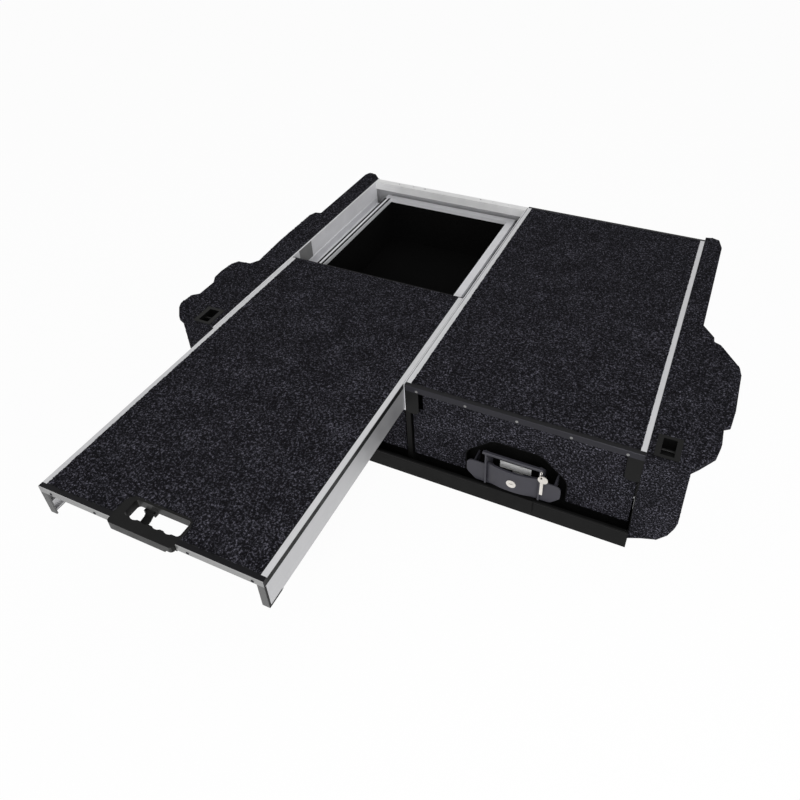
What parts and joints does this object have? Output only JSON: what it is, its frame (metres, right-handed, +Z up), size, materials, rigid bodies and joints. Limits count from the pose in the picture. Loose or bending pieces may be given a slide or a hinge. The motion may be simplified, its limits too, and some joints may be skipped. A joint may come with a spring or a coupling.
{
  "type": "truck bed drawer",
  "caption": "Low twin drawer unit for a pickup tray, with a carpeted roller top over one drawer, a fixed carpeted top over the other, side wings and locking pull handles.",
  "frame": {"origin": "on the tray floor, on the housing's front edge line, at the boundary between the two units", "axes": "+X to the right seen from the open drawers, +Y into the tray towards the cab, +Z up; the drawers open towards -Y"},
  "size_m": [1.3779, 1.4787, 0.2815],
  "materials": {
    "carpeted_ply": "charcoal marine carpet over board",
    "drawer_ply": "dark carpet lined",
    "bright_aluminium": "satin anodised",
    "dark_trim": "black anodised, satin",
    "zinc_steel": "zinc plated",
    "black_steel": "black powder coat, satin",
    "black_plastic": "moulded, fine texture",
    "grey_plastic": "moulded, satin",
    "nylon": "plain nylon",
    "black_nylon": "plain nylon",
    "plated_brass": "polished plating",
    "label_metal": "bare brushed plate"
  },
  "bodies": {
    "housing": {"base_floor": "black_steel", "front_lip": "dark_trim", "left_side_panel": "bright_aluminium", "right_side_panel": "bright_aluminium", "centre_divider": "black_steel", "back_panel": "bright_aluminium", "slide_guides": "bright_aluminium", "slide_supports": "zinc_steel", "rear_beam": "bright_aluminium", "fixed_top_board": "carpeted_ply", "fixed_top_strips": "bright_aluminium", "fixed_top_trims": "dark_trim", "corner_brackets": "black_plastic", "right_wing_top": "carpeted_ply", "right_wing_front": "carpeted_ply", "left_wing_top": "carpeted_ply", "left_wing_front": "carpeted_ply", "tie_down_hatches": "black_plastic", "wing_angles": "bright_aluminium", "drawer_channels": "bright_aluminium", "strike_plates": "zinc_steel"},
    "roller_top": {"slide_board": "carpeted_ply", "slide_side_strips": "bright_aluminium", "slide_trims": "dark_trim", "slide_rail_left": "bright_aluminium", "slide_rail_right": "bright_aluminium", "slide_end_caps": "grey_plastic", "slide_glides": "nylon", "slide_handle": "black_plastic"},
    "release_lever": {"slide_release_lever": "black_plastic"},
    "slide_roller_left_wheel": {"slide_roller_left": "black_nylon"},
    "slide_roller_right_wheel": {"slide_roller_right": "black_nylon"},
    "left_drawer": {"left_drawer_box": "drawer_ply", "left_drawer_caps": "bright_aluminium", "left_drawer_face": "carpeted_ply", "left_drawer_runners": "bright_aluminium", "left_handle_recess": "black_plastic", "left_handle_shroud": "grey_plastic", "left_label_plate": "label_metal"},
    "left_paddle": {"left_handle_paddle": "grey_plastic"},
    "left_barrel": {"left_lock_barrel": "plated_brass"},
    "left_bolt": {"left_lock_bolt": "zinc_steel"},
    "left_drawer_roller_left_wheel": {"left_drawer_roller_left": "black_nylon"},
    "left_drawer_roller_right_wheel": {"left_drawer_roller_right": "black_nylon"},
    "right_drawer": {"right_drawer_box": "drawer_ply", "right_drawer_caps": "bright_aluminium", "right_drawer_face": "carpeted_ply", "right_drawer_runners": "bright_aluminium", "right_handle_recess": "black_plastic", "right_handle_shroud": "grey_plastic", "right_label_plate": "label_metal", "key_on_wire": "plated_brass"},
    "right_paddle": {"right_handle_paddle": "grey_plastic"},
    "right_barrel": {"right_lock_barrel": "plated_brass"},
    "right_bolt": {"right_lock_bolt": "zinc_steel"},
    "right_drawer_roller_left_wheel": {"right_drawer_roller_left": "black_nylon"},
    "right_drawer_roller_right_wheel": {"right_drawer_roller_right": "black_nylon"}
  },
  "joints": [
    {"name": "roller_top_slide", "type": "slide", "parent": "housing", "child": "roller_top", "axis": [0, 1, 0], "range_m": [0, 0.508]},
    {"name": "release_lever_pivot", "type": "hinge", "parent": "roller_top", "child": "release_lever", "pos_m": [-0.304, -0.491, 0.2557], "axis": [-1, 0, 0], "range_deg": [0, 8], "stiffness_Nm_per_rad": 0.6},
    {"name": "slide_roller_left_spin", "type": "hinge", "parent": "housing", "child": "slide_roller_left_wheel", "pos_m": [-0.5275, 0.03, 0.25], "axis": [1, 0, 0], "continuous": true},
    {"name": "slide_roller_right_spin", "type": "hinge", "parent": "housing", "child": "slide_roller_right_wheel", "pos_m": [-0.0125, 0.03, 0.25], "axis": [1, 0, 0], "continuous": true},
    {"name": "left_drawer_slide", "type": "slide", "parent": "housing", "child": "left_drawer", "axis": [0, -1, 0], "range_m": [0, 0.72]},
    {"name": "left_paddle_pull", "type": "hinge", "parent": "left_drawer", "child": "left_paddle", "pos_m": [-0.27, -0.011, 0.066], "axis": [1, 0, 0], "range_deg": [0, 25], "stiffness_Nm_per_rad": 1.5},
    {"name": "left_lock_turn", "type": "hinge", "parent": "left_paddle", "child": "left_barrel", "pos_m": [-0.27, -0.01, 0.09], "axis": [0, 1, 0], "range_deg": [0, 90]},
    {"name": "left_bolt_throw", "type": "slide", "parent": "left_drawer", "child": "left_bolt", "axis": [0, 0, -1], "range_m": [0, 0.0125]},
    {"name": "left_drawer_roller_left_spin", "type": "hinge", "parent": "housing", "child": "left_drawer_roller_left_wheel", "pos_m": [-0.527, 0.036, 0.104], "axis": [1, 0, 0], "continuous": true},
    {"name": "left_drawer_roller_right_spin", "type": "hinge", "parent": "housing", "child": "left_drawer_roller_right_wheel", "pos_m": [-0.013, 0.036, 0.104], "axis": [1, 0, 0], "continuous": true},
    {"name": "right_drawer_slide", "type": "slide", "parent": "housing", "child": "right_drawer", "axis": [0, -1, 0], "range_m": [0, 0.72]},
    {"name": "right_paddle_pull", "type": "hinge", "parent": "right_drawer", "child": "right_paddle", "pos_m": [0.27, -0.011, 0.066], "axis": [1, 0, 0], "range_deg": [0, 25], "stiffness_Nm_per_rad": 1.5},
    {"name": "right_lock_turn", "type": "hinge", "parent": "right_paddle", "child": "right_barrel", "pos_m": [0.27, -0.01, 0.09], "axis": [0, 1, 0], "range_deg": [0, 90]},
    {"name": "right_bolt_throw", "type": "slide", "parent": "right_drawer", "child": "right_bolt", "axis": [0, 0, -1], "range_m": [0, 0.0125]},
    {"name": "right_drawer_roller_left_spin", "type": "hinge", "parent": "housing", "child": "right_drawer_roller_left_wheel", "pos_m": [0.021, 0.036, 0.104], "axis": [1, 0, 0], "continuous": true},
    {"name": "right_drawer_roller_right_spin", "type": "hinge", "parent": "housing", "child": "right_drawer_roller_right_wheel", "pos_m": [0.527, 0.036, 0.104], "axis": [1, 0, 0], "continuous": true}
  ],
  "couplings": [
    {"joint": "left_bolt_throw", "follows": "left_lock_turn", "m_per_rad": 0.00764},
    {"joint": "right_bolt_throw", "follows": "right_lock_turn", "m_per_rad": 0.00764}
  ]
}
